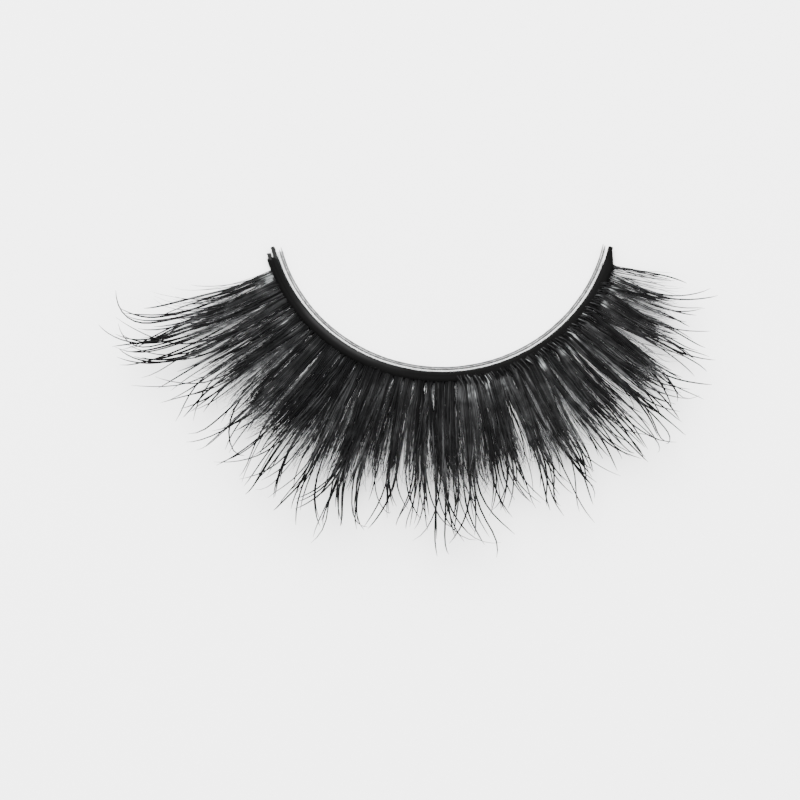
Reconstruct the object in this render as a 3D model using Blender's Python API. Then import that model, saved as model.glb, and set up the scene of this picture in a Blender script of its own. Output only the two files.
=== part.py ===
"""A false eyelash strip, as it lies on a surface with its lashes curling up.

The band is an arc. Its middle lies at the origin, the eye's side is towards +Y, the lashes point away
from the eye, and the long outer corner is at -X. Every place on the strip is given by three lengths:
along the band's middle line, out from that line towards the lash tips, and up from the surface.
"""
import bisect
import math
import random

import bmesh
import bpy
from mathutils import Vector

# Band: the arc of its middle line, and its two cords side by side
BAND_RADIUS = 0.01315
BAND_LENGTH = 0.0350
CORD_DIAMETER = 0.00036
OUTER_CORD_SETBACK = 0.00042
WEDGE_LENGTH = 0.0013
WEDGE_SETBACK = 0.00030
WEDGE_TIP_SHARE = 0.42
CORD_POINT_SPACING = 0.00060
PIECE_GAP = 0.00004

# Clear adhesive strip along the eye's side of the band
ADHESIVE_WIDTH = 0.00044
ADHESIVE_HEIGHT = 0.00022
ADHESIVE_OVERHANG = 0.00015
ADHESIVE_END_LENGTH = 0.0011
ADHESIVE_STATION_SPACING = 0.00062

# Lashes: where their roots start and stop, and how long the longest is
BARE_OUTER_END = 0.00160
BARE_INNER_END = 0.00118
LASH_LENGTH = 0.0174
ROOT_THICKNESS = 0.00014
SHORT_ROOT_WIDTH = 0.00030
LOCK_THICKNESS = 0.00022
TIP_WIDTH = 0.00007
TIP_THICKNESS = 0.00005
LONG_LOCK_PITCH = 0.00058
SHORT_LOCK_PITCH = 0.00076
LONG_TIP_DEGREES = 70
SHORT_TIP_DEGREES = 68
SHORT_ROW_SHARE = 0.66

# Lash lengths along the band: share of the way from the outer to the inner corner, share of LASH_LENGTH
LASH_SHARES = [
    (0.00, 0.89),
    (0.08, 0.97),
    (0.32, 1.00),
    (0.50, 0.93),
    (0.70, 0.89),
    (0.80, 0.78),
    (0.90, 0.63),
    (0.96, 0.56),
    (1.00, 0.45),
]

# Section of the adhesive strip: share of its width from the cord to the eye's side, share of its height
ADHESIVE_SECTION_SHARES = [
    (0.00, 0.00),
    (0.00, 0.62),
    (0.14, 0.95),
    (0.30, 0.52),
    (0.46, 0.56),
    (0.62, 1.00),
    (0.78, 0.50),
    (0.90, 0.58),
    (1.00, 0.30),
    (0.98, 0.00),
]

# Shares of a lock's joined length at which its sections stand
JOINED_SHARES = [0.0, 0.16, 0.38, 0.66, 1.0]
# Shares of a lock's free length at which its sections stand
FREE_SHARES = [0.22, 0.45, 0.68, 0.87, 1.0]

SEED = 7

HALF_BAND = BAND_LENGTH / 2
CORD_OFFSET = (CORD_DIAMETER + PIECE_GAP) / 2
BAND_HALF_WIDTH = CORD_OFFSET + CORD_DIAMETER / 2
CORD_HEIGHT = ROOT_THICKNESS + PIECE_GAP + CORD_DIAMETER / 2
SHORT_ROW_BASE = ROOT_THICKNESS + 3 * PIECE_GAP


def clear_scene():
    """Remove whatever the file holds."""
    for old in list(bpy.data.objects):
        bpy.data.objects.remove(old, do_unlink=True)


def make_collection(name):
    """Make a collection under the scene."""
    collection = bpy.data.collections.new(name)
    bpy.context.scene.collection.children.link(collection)
    return collection


def make_material(name, color, roughness, alpha=1.0):
    """Make a plain surface of one colour."""
    material = bpy.data.materials.new(name)
    material.use_nodes = True
    shader = material.node_tree.nodes["Principled BSDF"]
    shader.inputs["Base Color"].default_value = (*color, 1.0)
    shader.inputs["Roughness"].default_value = roughness
    shader.inputs["Metallic"].default_value = 0.0
    shader.inputs["Alpha"].default_value = alpha
    return material


def place(along, out, up):
    """The point at these lengths along, out from and above the band's middle line."""
    angle = along / BAND_RADIUS
    reach = BAND_RADIUS + out
    return Vector((reach * math.sin(angle), BAND_RADIUS - reach * math.cos(angle), up))


def mix(a, b, share):
    """The value this share of the way from a to b."""
    return a + (b - a) * share


def length_at(share):
    """Length of the lashes at this share of the way from the outer to the inner corner."""
    index = bisect.bisect_right([row[0] for row in LASH_SHARES], share) - 1
    index = min(max(index, 0), len(LASH_SHARES) - 2)
    start, end = LASH_SHARES[index], LASH_SHARES[index + 1]
    part = (share - start[0]) / (end[0] - start[0])
    return LASH_LENGTH * mix(start[1], end[1], part)


def curl(distance, length, tip_slope, bend):
    """Reach, height and slope of a lash at a distance from its root; its slope grows towards the tip."""
    steps = 24
    step = distance / steps
    reach = 0.0
    height = 0.0
    for index in range(steps):
        slope = tip_slope * ((index + 0.5) * step / length) ** bend
        reach += step * math.cos(slope)
        height += step * math.sin(slope)
    return reach, height, tip_slope * (distance / length) ** bend


def finish_mesh(name, mesh_data, collection, material, smooth_angle):
    """Link a finished bmesh as an object, with its faces pointing out."""
    bmesh.ops.recalc_face_normals(mesh_data, faces=mesh_data.faces)
    mesh = bpy.data.meshes.new(name)
    mesh_data.to_mesh(mesh)
    mesh_data.free()
    mesh.shade_smooth()
    mesh.set_sharp_from_angle(angle=smooth_angle)
    made = bpy.data.objects.new(name, mesh)
    mesh.materials.append(material)
    collection.objects.link(made)
    return made


def add_adhesive_strip(collection, material):
    """Loft the ridged strip from end to end; its eye's side wanders and its ends thin out."""
    rng = random.Random(SEED)
    start = -HALF_BAND
    end = HALF_BAND + ADHESIVE_OVERHANG
    stations = max(8, round((end - start) / ADHESIVE_STATION_SPACING))
    near = -(BAND_HALF_WIDTH + PIECE_GAP)
    mesh_data = bmesh.new()
    rings = []
    for index in range(stations + 1):
        along = mix(start, end, index / stations)
        from_end = min(along - start, end - along)
        fullness = mix(0.55, 1.0, min(1.0, from_end / ADHESIVE_END_LENGTH))
        width = ADHESIVE_WIDTH * fullness * rng.uniform(0.90, 1.0)
        height = ADHESIVE_HEIGHT * fullness * rng.uniform(0.88, 1.0)
        ring = [mesh_data.verts.new(place(along, near - across * width, up * height))
                for across, up in ADHESIVE_SECTION_SHARES]
        rings.append(ring)
    for ring, following in zip(rings, rings[1:]):
        for index in range(len(ring)):
            after = (index + 1) % len(ring)
            mesh_data.faces.new((ring[index], ring[after], following[after], following[index]))
    mesh_data.faces.new(rings[0])
    mesh_data.faces.new(rings[-1])
    return finish_mesh("clear_adhesive_strip", mesh_data, collection, material, math.radians(50))


def add_cord(name, offset, start, end, wedge, collection, material):
    """Lay a cord along the band; a wedge thins its inner-corner end towards the other cord."""
    count = max(8, round((end - start) / CORD_POINT_SPACING))
    curve = bpy.data.curves.new(name, "CURVE")
    curve.dimensions = "3D"
    curve.bevel_depth = CORD_DIAMETER / 2
    curve.bevel_resolution = 2
    curve.use_fill_caps = True
    spline = curve.splines.new("POLY")
    spline.points.add(count)
    for index, point in enumerate(spline.points):
        along = mix(start, end, index / count)
        fullness = 1.0
        if wedge:
            fullness = mix(WEDGE_TIP_SHARE, 1.0, min(1.0, (end - along) / WEDGE_LENGTH))
        inward = (1.0 - fullness) * CORD_DIAMETER / 2
        point.co = (*place(along, offset - inward, CORD_HEIGHT), 1.0)
        point.radius = fullness
    made = bpy.data.objects.new(name, curve)
    curve.materials.append(material)
    collection.objects.link(made)
    return made


def lock_edges(start, end, pitch, rng):
    """Places along the band where one lock meets the next, a little uneven."""
    count = max(4, round((end - start) / pitch))
    width = (end - start) / count
    edges = [start]
    for index in range(1, count):
        edges.append(start + width * (index + rng.uniform(-0.16, 0.16)))
    edges.append(end)
    return edges


def add_lash_row(name, row, collection, material):
    """Fuse a fan of curling locks to a flat root strip.

    Neighbouring locks share their side points along the joined part. Beyond it each lock is a free
    spike with a four-sided section that narrows to a fine point.
    """
    rng = random.Random(row["seed"])
    start = -HALF_BAND + BARE_OUTER_END
    end = HALF_BAND - BARE_INNER_END
    edges = lock_edges(start, end, row["pitch"], rng)
    count = len(edges) - 1
    middles = [(edges[index] + edges[index + 1]) / 2 for index in range(count)]
    lengths = []
    for middle in middles:
        full = length_at((middle - start) / (end - start)) * row["length_share"]
        lengths.append(full * rng.uniform(*row["length_range"]))
    joined = [rng.uniform(0.42, 0.60) for _ in range(count + 1)]
    edge_lengths = [lengths[0]]
    edge_lengths += [(before + after) / 2 for before, after in zip(lengths, lengths[1:])]
    edge_lengths.append(lengths[-1])

    def at(along, distance, length, tip_slope, lift):
        reach, height, slope = curl(distance, length, tip_slope, row["bend"])
        out = row["root_end"] + reach - lift * math.sin(slope)
        return place(along, out, row["base"] + height + lift * math.cos(slope))

    mesh_data = bmesh.new()

    def vert(point):
        return mesh_data.verts.new(point)

    def column(along, length, share, ridge):
        """Top and bottom points of one line of the joined part, from the root's inner edge outwards."""
        top = [vert(place(along, row["root_start"], row["base"] + ROOT_THICKNESS))]
        bottom = [vert(place(along, row["root_start"], row["base"]))]
        for station in JOINED_SHARES:
            distance = station * share * length
            growth = min(1.0, station / JOINED_SHARES[2])
            thickness = mix(ROOT_THICKNESS, LOCK_THICKNESS if ridge else ROOT_THICKNESS * 0.75, growth)
            under = 0.0 if ridge else 0.2 * ROOT_THICKNESS * growth
            top.append(vert(at(along, distance, length, row["tip_slope"], under + thickness)))
            bottom.append(vert(at(along, distance, length, row["tip_slope"], under)))
        return top, bottom

    sides = [column(edge, length, share, False)
             for edge, length, share in zip(edges, edge_lengths, joined)]
    ridges = [column(middles[index], lengths[index], (joined[index] + joined[index + 1]) / 2, True)
              for index in range(count)]
    for index in range(count):
        lines = [sides[index], ridges[index], sides[index + 1]]
        for first, second in zip(lines, lines[1:]):
            for station in range(len(JOINED_SHARES)):
                mesh_data.faces.new((first[0][station], second[0][station],
                                     second[0][station + 1], first[0][station + 1]))
                mesh_data.faces.new((second[1][station], first[1][station],
                                     first[1][station + 1], second[1][station + 1]))
            mesh_data.faces.new((first[0][0], first[1][0], second[1][0], second[0][0]))
    for top, bottom in (sides[0], sides[-1]):
        for station in range(len(JOINED_SHARES)):
            mesh_data.faces.new((top[station], top[station + 1], bottom[station + 1], bottom[station]))

    for index in range(count):
        length = lengths[index]
        share = (joined[index] + joined[index + 1]) / 2
        half = (edges[index + 1] - edges[index]) / 2
        lean = rng.uniform(-0.30, 0.30) * half
        tip_slope = row["tip_slope"]
        left_top, left_bottom = sides[index][0][-1], sides[index][1][-1]
        right_top, right_bottom = sides[index + 1][0][-1], sides[index + 1][1][-1]
        ridge_top, ridge_bottom = ridges[index][0][-1], ridges[index][1][-1]
        previous = None
        for free in FREE_SHARES:
            distance = mix(share * length, length, free)
            width = mix(TIP_WIDTH / 2, half, (1.0 - free) ** 1.1) * 0.94
            width *= BAND_RADIUS / (BAND_RADIUS + distance * free)
            thickness = mix(TIP_THICKNESS, LOCK_THICKNESS, (1.0 - free) ** 0.8)
            middle = middles[index] + lean * free ** 1.5
            ring = [vert(at(middle - width, distance, length, tip_slope, thickness / 2)),
                    vert(at(middle, distance, length, tip_slope, thickness)),
                    vert(at(middle + width, distance, length, tip_slope, thickness / 2)),
                    vert(at(middle, distance, length, tip_slope, 0.0))]
            if previous is None:
                mesh_data.faces.new((left_top, ridge_top, ring[1], ring[0]))
                mesh_data.faces.new((ridge_top, right_top, ring[2], ring[1]))
                mesh_data.faces.new((right_bottom, ridge_bottom, ring[3], ring[2]))
                mesh_data.faces.new((ridge_bottom, left_bottom, ring[0], ring[3]))
                mesh_data.faces.new((left_bottom, left_top, ring[0]))
                mesh_data.faces.new((right_top, right_bottom, ring[2]))
            else:
                for corner in range(4):
                    after = (corner + 1) % 4
                    mesh_data.faces.new((previous[corner], previous[after], ring[after], ring[corner]))
            previous = ring
        mesh_data.faces.new(previous)
    return finish_mesh(name, mesh_data, collection, material, math.radians(60))


def build_strip():
    """Build the five pieces of the strip."""
    clear_scene()
    collection = make_collection("false_eyelash_strip")
    lash = make_material("lash_hair", (0.012, 0.012, 0.013), 0.42)
    cord = make_material("band_cord", (0.010, 0.010, 0.010), 0.75)
    clear = make_material("clear_adhesive", (0.93, 0.94, 0.94), 0.18, alpha=0.45)
    long_row = {
        "seed": SEED + 1,
        "pitch": LONG_LOCK_PITCH,
        "length_share": 1.0,
        "length_range": (0.87, 1.02),
        "tip_slope": math.radians(LONG_TIP_DEGREES),
        "bend": 2.0,
        "base": 0.0,
        "root_start": -BAND_HALF_WIDTH,
        "root_end": BAND_HALF_WIDTH,
    }
    short_row = {
        "seed": SEED + 2,
        "pitch": SHORT_LOCK_PITCH,
        "length_share": SHORT_ROW_SHARE,
        "length_range": (0.90, 1.08),
        "tip_slope": math.radians(SHORT_TIP_DEGREES),
        "bend": 1.7,
        "base": SHORT_ROW_BASE,
        "root_start": BAND_HALF_WIDTH + PIECE_GAP,
        "root_end": BAND_HALF_WIDTH + PIECE_GAP + SHORT_ROOT_WIDTH,
    }
    add_adhesive_strip(collection, clear)
    add_cord("inner_band_cord", -CORD_OFFSET, -HALF_BAND, HALF_BAND, False, collection, cord)
    add_cord("outer_band_cord", CORD_OFFSET, -HALF_BAND + OUTER_CORD_SETBACK, HALF_BAND - WEDGE_SETBACK,
             True, collection, cord)
    add_lash_row("long_lash_row", long_row, collection, lash)
    add_lash_row("short_lash_row", short_row, collection, lash)


build_strip()
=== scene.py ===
"""The looks of a false eyelash strip: single tapered hairs, coated cords and a clear adhesive strip.

Every place on the strip is given by three lengths, as in its solid model: along the band's middle line,
out from that line towards the lash tips, and up from the surface that the strip lies on.
"""
import math

import bmesh
import bpy
import numpy as np
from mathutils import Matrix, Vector


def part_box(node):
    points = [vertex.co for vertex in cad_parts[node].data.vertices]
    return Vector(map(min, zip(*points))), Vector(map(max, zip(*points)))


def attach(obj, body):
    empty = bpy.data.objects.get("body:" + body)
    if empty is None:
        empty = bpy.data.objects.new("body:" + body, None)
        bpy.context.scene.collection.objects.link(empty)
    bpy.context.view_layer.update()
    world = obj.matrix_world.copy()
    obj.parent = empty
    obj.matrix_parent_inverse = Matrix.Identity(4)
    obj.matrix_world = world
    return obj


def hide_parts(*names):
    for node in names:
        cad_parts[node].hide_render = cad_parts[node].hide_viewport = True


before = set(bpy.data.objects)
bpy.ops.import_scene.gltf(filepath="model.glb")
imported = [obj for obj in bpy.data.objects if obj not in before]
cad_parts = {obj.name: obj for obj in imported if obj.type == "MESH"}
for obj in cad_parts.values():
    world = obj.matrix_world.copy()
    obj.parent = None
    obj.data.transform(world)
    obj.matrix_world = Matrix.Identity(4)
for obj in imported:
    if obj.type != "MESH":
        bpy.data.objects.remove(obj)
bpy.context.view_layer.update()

bl_info = {
    "name": "False Eyelash Strip",
    "version": (1, 0, 0),
    "blender": (4, 5, 0),
    "location": "3D View > Sidebar > Eyelash",
    "description": "Grows the hairs of a false eyelash strip and finishes its band",
    "category": "Object",
}

MM = 0.001

# Where the hair roots start and stop, in from the ends of the band
BARE_OUTER_END = 1.60 * MM
BARE_INNER_END = 1.18 * MM

# Lash lengths along the band: share of the way from the outer to the inner corner, share of the longest
LASH_SHARES = [
    (0.00, 0.86),
    (0.08, 0.95),
    (0.32, 1.00),
    (0.46, 1.00),
    (0.56, 0.96),
    (0.68, 0.91),
    (0.76, 0.89),
    (0.84, 0.82),
    (0.90, 0.71),
    (0.96, 0.65),
    (1.00, 0.60),
]

# Where the hairs stand: share of all hairs, share of the way along; the corners have fewer
ROOT_SPREAD = [
    (0.000, 0.000),
    (0.040, 0.075),
    (0.120, 0.180),
    (0.300, 0.345),
    (0.600, 0.610),
    (0.950, 0.910),
    (0.984, 0.950),
    (1.000, 1.000),
]

# Sizes that a user can change
LONGEST_LASH = 17.6 * MM
HAIR_WIDTH = 0.130 * MM
TIP_ANGLE = math.radians(68.0)
CORD_PITCH = 0.9 * MM

# The outer cord starts and stops short of the band's ends, and its inner corner is cut to a wedge
OUTER_CORD_START = 0.42 * MM
OUTER_CORD_STOP = 0.80 * MM
OUTER_CORD_WEDGE = 0.8

# Name of the number kept on a mesh's points, from which its material takes its colour there: painted sheen on
# the coating, painted dark lines on the adhesive, and tone, painted sheen and glints on the hairs
TONE = "tone"

# Stage: the floor's width, the strength of the white room, and the soft lamp above and behind the strip
FLOOR_WIDTH = 2.0
ROOM_STRENGTH = 3.9
LAMP_WIDTH = 0.35
LAMP_POWER = 3.2
LAMP_PLACE = (-0.06, 0.16, 0.34)

# Camera: the photo's width and the band's middle in its pixels, its scale, the angle above the surface
# in degrees, and the lens and sensor in millimetres
PHOTO_SIZE = 800
BAND_MIDDLE_PIXEL = (442.2, 378.2)
PIXELS_PER_MM = 13.57
CAMERA_ELEVATION = 73.5
CAMERA_LENS = 200.0
SENSOR_WIDTH = 36.0


def band_arc():
    """Radius and half angle of the band's middle line, found from the box of the inner cord.

    Each is worked out from the other, and 30 rounds settle both from a rough first angle.
    """
    low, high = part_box("inner_band_cord")
    cord = (high.z - low.z) / 2
    offset = low.y + cord
    half = 1.3
    for _ in range(30):
        radius = high.x / math.sin(half) + offset - cord
        half = math.acos((radius - high.y) / (radius - offset - cord))
    return radius, half


BAND_RADIUS, BAND_HALF_ANGLE = band_arc()
HALF_BAND = BAND_RADIUS * BAND_HALF_ANGLE
CORD_LOW, CORD_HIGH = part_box("inner_band_cord")
CORD_RADIUS = (CORD_HIGH.z - CORD_LOW.z) / 2
CORD_HEIGHT = (CORD_HIGH.z + CORD_LOW.z) / 2
CORD_OFFSET = CORD_LOW.y + CORD_RADIUS
BAND_HALF_WIDTH = CORD_OFFSET + CORD_RADIUS
ROOT_TOP = CORD_LOW.z
ROOTS_FROM = -HALF_BAND + BARE_OUTER_END
ROOTS_TO = HALF_BAND - BARE_INNER_END


def place(along, out, up):
    """The point at these lengths along, out from and above the band's middle line."""
    angle = along / BAND_RADIUS
    reach = BAND_RADIUS + out
    return Vector((reach * math.sin(angle), BAND_RADIUS - reach * math.cos(angle), up))


def mix(a, b, share):
    """The value this share of the way from a to b."""
    return a + (b - a) * share


class Wire:
    """A socket that takes part in arithmetic: each operation adds a Math node to its tree."""

    def __init__(self, graph, socket):
        self.graph = graph
        self.socket = socket

    def __add__(self, other):
        return self.graph.math("ADD", self, other)

    def __radd__(self, other):
        return self.graph.math("ADD", other, self)

    def __sub__(self, other):
        return self.graph.math("SUBTRACT", self, other)

    def __rsub__(self, other):
        return self.graph.math("SUBTRACT", other, self)

    def __mul__(self, other):
        return self.graph.math("MULTIPLY", self, other)

    def __rmul__(self, other):
        return self.graph.math("MULTIPLY", other, self)

    def __truediv__(self, other):
        return self.graph.math("DIVIDE", self, other)

    def __rtruediv__(self, other):
        return self.graph.math("DIVIDE", other, self)

    def __pow__(self, other):
        return self.graph.math("POWER", self, other)


class Graph:
    """Adds nodes to one tree, of a material or of Geometry Nodes."""

    def __init__(self, tree):
        self.tree = tree

    def node(self, kind, settings=None, inputs=None):
        """Add a node: its settings first, then the values or links of its sockets."""
        made = self.tree.nodes.new(kind)
        for name, value in (settings or {}).items():
            setattr(made, name, value)
        for key, value in (inputs or {}).items():
            if isinstance(value, Wire):
                self.tree.links.new(value.socket, made.inputs[key])
            elif isinstance(value, bpy.types.NodeSocket):
                self.tree.links.new(value, made.inputs[key])
            else:
                made.inputs[key].default_value = value
        return made

    def wire(self, kind, settings=None, inputs=None, output=0):
        """Add a node and take one of its outputs into the arithmetic."""
        return Wire(self, self.node(kind, settings, inputs).outputs[output])

    def math(self, operation, *values):
        """Add a Math node."""
        return self.wire("ShaderNodeMath", {"operation": operation}, dict(enumerate(values)))

    def smooth(self, value, low, high):
        """Rise smoothly from 0 at low to 1 at high."""
        limits = {"Value": value, "From Min": low, "From Max": high}
        return self.wire("ShaderNodeMapRange", {"interpolation_type": "SMOOTHSTEP"}, limits)

    def fade(self, value, low, high):
        """Fall smoothly from 1 at low to 0 at high."""
        return 1.0 - self.smooth(value, low, high)

    def random(self, low, high, key, seed):
        """A random number from low to high for each key."""
        sockets = {2: low, 3: high, "ID": key, "Seed": seed}
        return self.wire("FunctionNodeRandomValue", {"data_type": "FLOAT"}, sockets, output=1)

    def drift(self, value):
        """A smooth random number from about -0.5 to 0.5 that follows the value."""
        sockets = {"W": value, "Scale": 1.0, "Detail": 0.0}
        return (self.wire("ShaderNodeTexNoise", {"noise_dimensions": "1D"}, sockets) - 0.5) * 1.6

    def vector(self, x, y, z):
        """Join three numbers into a vector."""
        return self.wire("ShaderNodeCombineXYZ", None, {"X": x, "Y": y, "Z": z})

    def split(self, value):
        """Part a vector into its three numbers."""
        made = self.node("ShaderNodeSeparateXYZ", None, {"Vector": value})
        return [Wire(self, socket) for socket in made.outputs]

    def profile(self, value, table):
        """Look the value up on a smooth curve through the table's rows."""
        made = self.node("ShaderNodeFloatCurve", None, {"Value": value})
        points = made.mapping.curves[0].points
        points[0].location = table[0]
        points[1].location = table[-1]
        for row in table[1:-1]:
            points.new(*row)
        made.mapping.update()
        return Wire(self, made.outputs[0])

    def place(self, along, out, up, side=0.0):
        """The point at these lengths along, out from and above the band's middle line, moved sideways."""
        angle = along / BAND_RADIUS
        sine = self.math("SINE", angle)
        cosine = self.math("COSINE", angle)
        reach = out + BAND_RADIUS
        return self.vector(reach * sine + side * cosine, BAND_RADIUS - reach * cosine + side * sine, up)


def new_tree(name, sizes):
    """Make a Geometry Nodes tree with these named inputs and one output; give its graph and inputs."""
    kinds = {int: "NodeSocketInt", float: "NodeSocketFloat"}
    tree = bpy.data.node_groups.new(name, "GeometryNodeTree")
    tree.interface.new_socket("Geometry", in_out="OUTPUT", socket_type="NodeSocketGeometry")
    for label, value in sizes.items():
        socket = tree.interface.new_socket(label, in_out="INPUT", socket_type=kinds[type(value)])
        socket.default_value = value
    tree.interface.new_socket("Material", in_out="INPUT", socket_type="NodeSocketMaterial")
    graph = Graph(tree)
    entry = graph.node("NodeGroupInput")
    inputs = {socket.name: Wire(graph, socket) for socket in entry.outputs if socket.name}
    return graph, inputs


def end_tree(graph, geometry, material):
    """End a tree in Shade Smooth, Realize Instances and Set Material."""
    smooth = graph.node("GeometryNodeSetShadeSmooth", None, {"Geometry": geometry})
    real = graph.node("GeometryNodeRealizeInstances", None, {"Geometry": smooth.outputs[0]})
    finished = graph.node("GeometryNodeSetMaterial", None,
                          {"Geometry": real.outputs[0], "Material": material})
    graph.node("NodeGroupOutput", None, {"Geometry": finished.outputs[0]})
    return graph.tree


def copies_of_line(graph, points, count):
    """Copies of a straight line; give the geometry, each copy's number and the share along it."""
    line = graph.node("GeometryNodeCurvePrimitiveLine", None, {"End": (1.0, 0.0, 0.0)})
    fine = graph.node("GeometryNodeResampleCurve", None, {"Curve": line.outputs[0], "Count": points})
    copies = graph.node("GeometryNodeDuplicateElements", {"domain": "SPLINE"},
                        {"Geometry": fine.outputs[0], "Amount": count})
    share = graph.wire("GeometryNodeSplineParameter")
    return copies.outputs["Geometry"], Wire(graph, copies.outputs["Duplicate Index"]), share


def move(graph, geometry, position):
    """Move the points of a curve to this position."""
    moved = graph.node("GeometryNodeSetPosition", None, {"Geometry": geometry, "Position": position})
    return moved.outputs[0]


def store_tone(graph, geometry, tone):
    """Keep a tone on the points of a curve."""
    kept = graph.node("GeometryNodeStoreNamedAttribute", {"data_type": "FLOAT", "domain": "POINT"},
                      {"Geometry": geometry, "Name": TONE, "Value": tone})
    return kept.outputs[0]


def sweep(graph, curve, radius, sides):
    """Turn curves into closed tubes of this radius."""
    section = graph.node("GeometryNodeCurvePrimitiveCircle", None, {"Resolution": sides, "Radius": 1.0})
    tube = graph.node("GeometryNodeCurveToMesh", None,
                      {"Curve": curve, "Profile Curve": section.outputs[0], "Scale": radius,
                       "Fill Caps": True})
    return tube.outputs[0]


# Inputs of the tree that grows the lashes, each with its default
LASH_SIZES = {
    "Hairs": 500,
    "Points": 15,
    "Seed": 1,
    "From Share": 0.0,
    "To Share": 1.0,
    "Longest": LONGEST_LASH,
    "Row Share": 1.0,
    "Shortest Share": 0.6,
    "Length Skew": 1.1,
    "Root Out": -0.2 * MM,
    "Root Up": 0.06 * MM,
    "Root Pile": 0.08 * MM,
    "Tip Slope": TIP_ANGLE,
    "Slope Spread": 0.15,
    "Bundles": 44,
    "Bundle Grip": 0.8,
    "Tufts": 32,
    "Tuft Grip": 0.82,
    "Wisp Grip": 0.65,
    "Wisp Lean": 0.15,
    "Lean": 0.08,
    "Bend": 0.35,
    "Sweep": 0.42,
    "Splay": 0.58,
    "Hook": 0.8,
    "Upturn": 0.0,
    "Counter Curl": 0.2,
    "Hair Width": HAIR_WIDTH,
    "Sides": 4,
    "Streaks": 0.8,
    "Painted Gap Light": 0.0,
}

# Wisps, locks and strands in each tuft
WISPS_IN_TUFT = 3.0
LOCKS_IN_TUFT = 3.0
STRANDS_IN_TUFT = 7.0

# Waves along the band by which bundles, tufts and strands wander, and where the tufts' waves begin
BUNDLE_WAVES = 23.0
TUFT_WAVES = 11.0
TUFT_WAVES_BEGIN = 40.0
STRAND_WAVES = 60.0

# Zones of a hair, as shares of the length of the longest lash there, in which something comes in or goes
BUNDLES_CLOSE = (0.0, 0.05)
BUNDLES_OPEN = (0.05, 0.17)
WISPS_CLOSE = (0.05, 0.45)
WISPS_OPEN = (0.45, 0.8)
TUFTS_CLOSE = (0.04, 0.46)
TUFTS_OPEN = (0.48, 0.85)
TIPS_SPLAY = (0.4, 0.8)
STREAKS_START = (0.03, 0.13)
STREAKS_WEAKEN = (0.1, 0.25)
STREAKS_END = (0.45, 0.75)
GLINTS_START = (0.025, 0.05)
GLINTS_END = (0.08, 0.14)
BLOBS_START = (0.02, 0.045)
BLOBS_END = (0.07, 0.11)
# Where the painted light between the tufts comes in on the fine hairs
GAP_LIGHT_STARTS = (0.1, 0.42)

# The same, as shares of the longest hair of its own row
TIPS_TURN_UP = (0.62, 1.0)
TIPS_HOOK = (0.7, 1.0)

# Share of their pull that wisps and tufts lose where they open
OPENING = 0.8

# How far the painted glints and painted light blobs raise the tone
GLINT_STRENGTH = 3.2
BLOB_STRENGTH = 1.4

# Zones of the band, as shares of the way from its outer to its inner corner
OUTER_CORNER = (0.0, 0.2)
INNER_CORNER = (0.9, 1.0)
BLOBS_STOP = (0.1, 0.16)

# Places on the band, as such shares, each with the distances from it at which a change starts and ends
LOOSEST_TUFTS = (0.42, 0.1, 0.36)
# Around the darkest hairs the painted sheen and glints are weakest
DARKEST_HAIRS = (0.32, 0.07, 0.32)

# Seeds of the random numbers that each hair has of its own, and how far apart those of the rows are
ROW_SEED_STEP = 31.0
OWN_SEEDS = {
    "root": 1,
    "tuft border": 3,
    "wisp border": 4,
    "length": 5,
    "tuft grip": 6,
    "wisp grip": 7,
    "slope": 9,
    "lean": 11,
    "wisp lean": 12,
    "bend": 13,
    "splay": 14,
    "hook": 15,
    "root out": 16,
    "root up": 17,
    "tone": 18,
    "width": 19,
    "upturn": 20,
}

# Seeds of the random numbers that a bundle, tuft, wisp, lock or strand has in every row
SHARED_SEEDS = {
    "bundle grip": 201,
    "tuft middle": 202,
    "tuft length": 203,
    "tuft slope": 204,
    "tuft lean": 205,
    "tuft bend": 206,
    "wisp middle": 207,
    "tuft grip": 208,
    "strand streak": 209,
    "strand glint": 210,
    "lock blob": 211,
}


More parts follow.
